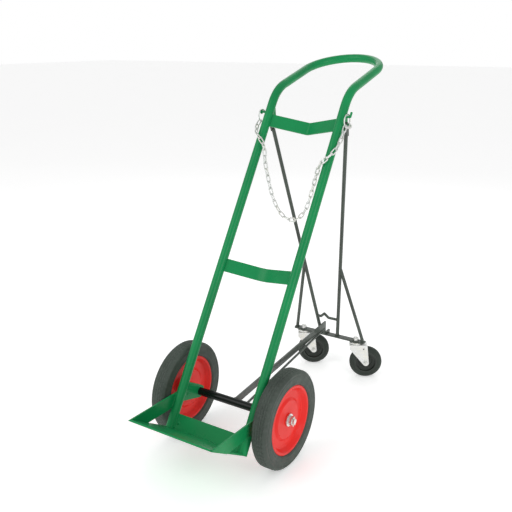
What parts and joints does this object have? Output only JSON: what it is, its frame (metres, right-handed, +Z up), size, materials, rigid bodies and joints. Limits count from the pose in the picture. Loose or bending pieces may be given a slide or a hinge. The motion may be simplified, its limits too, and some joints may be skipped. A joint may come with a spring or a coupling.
{
  "type": "gas cylinder hand truck",
  "caption": "Leaning tube-frame hand truck for a tall gas cylinder, with large wheels, a toe plate, V cradles, a restraining chain and a folding rear leg on swivel casters.",
  "frame": {"origin": "middle of the bounding box across and along, on the floor, in the rolling stance", "axes": "+X to the side of the chain hook, +Y back to the casters, +Z up"},
  "size_m": [0.437, 1.1111, 1.1663],
  "materials": {
    "green_paint": "semi-gloss enamel",
    "red_paint": "semi-gloss enamel",
    "black_gloss_paint": "gloss enamel",
    "dark_rod_paint": "satin dark olive black",
    "zinc_plate": "bright zinc plate",
    "tyre_rubber": "matt moulded rubber",
    "caster_rubber": "matt rubber",
    "caster_core_plastic": "moulded plastic",
    "nylon": "moulded nylon"
  },
  "bodies": {
    "frame": {"frame_tube": "green_paint", "upper_brace": "green_paint", "lower_brace": "green_paint", "toe_plate": "green_paint", "toe_riser": "green_paint", "frame_rivets": "green_paint", "left_toe_strap": "green_paint", "right_toe_strap": "green_paint", "left_axle_gusset": "green_paint", "right_axle_gusset": "green_paint", "left_pivot_lug": "green_paint", "right_pivot_lug": "green_paint", "axle_shaft": "zinc_plate", "axle_spacers": "black_gloss_paint", "axle_washers": "zinc_plate", "axle_nuts": "zinc_plate", "split_pins": "zinc_plate", "pivot_bolts": "zinc_plate", "pivot_nuts": "zinc_plate", "chain_stud": "green_paint", "chain_hook": "green_paint"},
    "left_wheel": {"left_tyre": "tyre_rubber", "left_rim_outer": "red_paint", "left_rim_inner": "red_paint", "left_wheel_hub": "red_paint", "left_wheel_bush": "nylon"},
    "right_wheel": {"right_tyre": "tyre_rubber", "right_rim_outer": "red_paint", "right_rim_inner": "red_paint", "right_wheel_hub": "red_paint", "right_wheel_bush": "nylon"},
    "leg_frame": {"left_leg_main_rod": "dark_rod_paint", "left_leg_brace_rod": "dark_rod_paint", "left_caster_race": "zinc_plate", "left_caster_kingpin": "zinc_plate", "left_caster_kingpin_nut": "zinc_plate", "right_leg_main_rod": "dark_rod_paint", "right_leg_brace_rod": "dark_rod_paint", "right_caster_race": "zinc_plate", "right_caster_kingpin": "zinc_plate", "right_caster_kingpin_nut": "zinc_plate", "cross_bar": "dark_rod_paint", "guide_strap": "dark_rod_paint"},
    "left_caster": {"left_caster_fork": "zinc_plate", "left_caster_axle": "zinc_plate", "left_caster_axle_nut": "zinc_plate"},
    "right_caster": {"right_caster_fork": "zinc_plate", "right_caster_axle": "zinc_plate", "right_caster_axle_nut": "zinc_plate"},
    "left_caster_wheel": {"left_caster_tyre": "caster_rubber", "left_caster_core": "caster_core_plastic"},
    "right_caster_wheel": {"right_caster_tyre": "caster_rubber", "right_caster_core": "caster_core_plastic"},
    "lock_arm": {"axle_sleeve": "black_gloss_paint", "lock_arm": "dark_rod_paint", "lock_arm_brace": "dark_rod_paint"},
    "chain": {"safety_chain": "zinc_plate", "left_chain_ring": "zinc_plate", "right_chain_ring": "zinc_plate"}
  },
  "joints": [
    {"name": "left_wheel_spin", "type": "hinge", "parent": "frame", "child": "left_wheel", "pos_m": [-0.1835, -0.24423, 0.15], "axis": [1, 0, 0], "continuous": true},
    {"name": "right_wheel_spin", "type": "hinge", "parent": "frame", "child": "right_wheel", "pos_m": [0.1835, -0.24423, 0.15], "axis": [1, 0, 0], "continuous": true},
    {"name": "leg_fold", "type": "hinge", "parent": "frame", "child": "leg_frame", "pos_m": [0, 0.19486, 0.95723], "axis": [1, 0, 0], "range_deg": [-28, 0]},
    {"name": "lock_arm_lift", "type": "hinge", "parent": "frame", "child": "lock_arm", "pos_m": [0, -0.24423, 0.15], "axis": [1, 0, 0], "range_deg": [0, 0.84]},
    {"name": "chain_swing", "type": "hinge", "parent": "frame", "child": "chain", "pos_m": [0, 0.17273, 0.98775], "axis": [1, 0, 0], "range_deg": [-35, 0]},
    {"name": "left_caster_swivel", "type": "hinge", "parent": "leg_frame", "child": "left_caster", "pos_m": [-0.1105, 0.39386, 0.06], "axis": [0, 0, 1], "continuous": true},
    {"name": "left_caster_spin", "type": "hinge", "parent": "left_caster", "child": "left_caster_wheel", "pos_m": [-0.07673, 0.41336, 0.06], "axis": [0.5, -0.866, 0], "continuous": true},
    {"name": "right_caster_swivel", "type": "hinge", "parent": "leg_frame", "child": "right_caster", "pos_m": [0.1105, 0.39386, 0.06], "axis": [0, 0, 1], "continuous": true},
    {"name": "right_caster_spin", "type": "hinge", "parent": "right_caster", "child": "right_caster_wheel", "pos_m": [0.14427, 0.41336, 0.06], "axis": [0.5, -0.866, 0], "continuous": true}
  ],
  "couplings": [
    {"joint": "lock_arm_lift", "follows": "leg_fold", "ratio": -0.03}
  ]
}
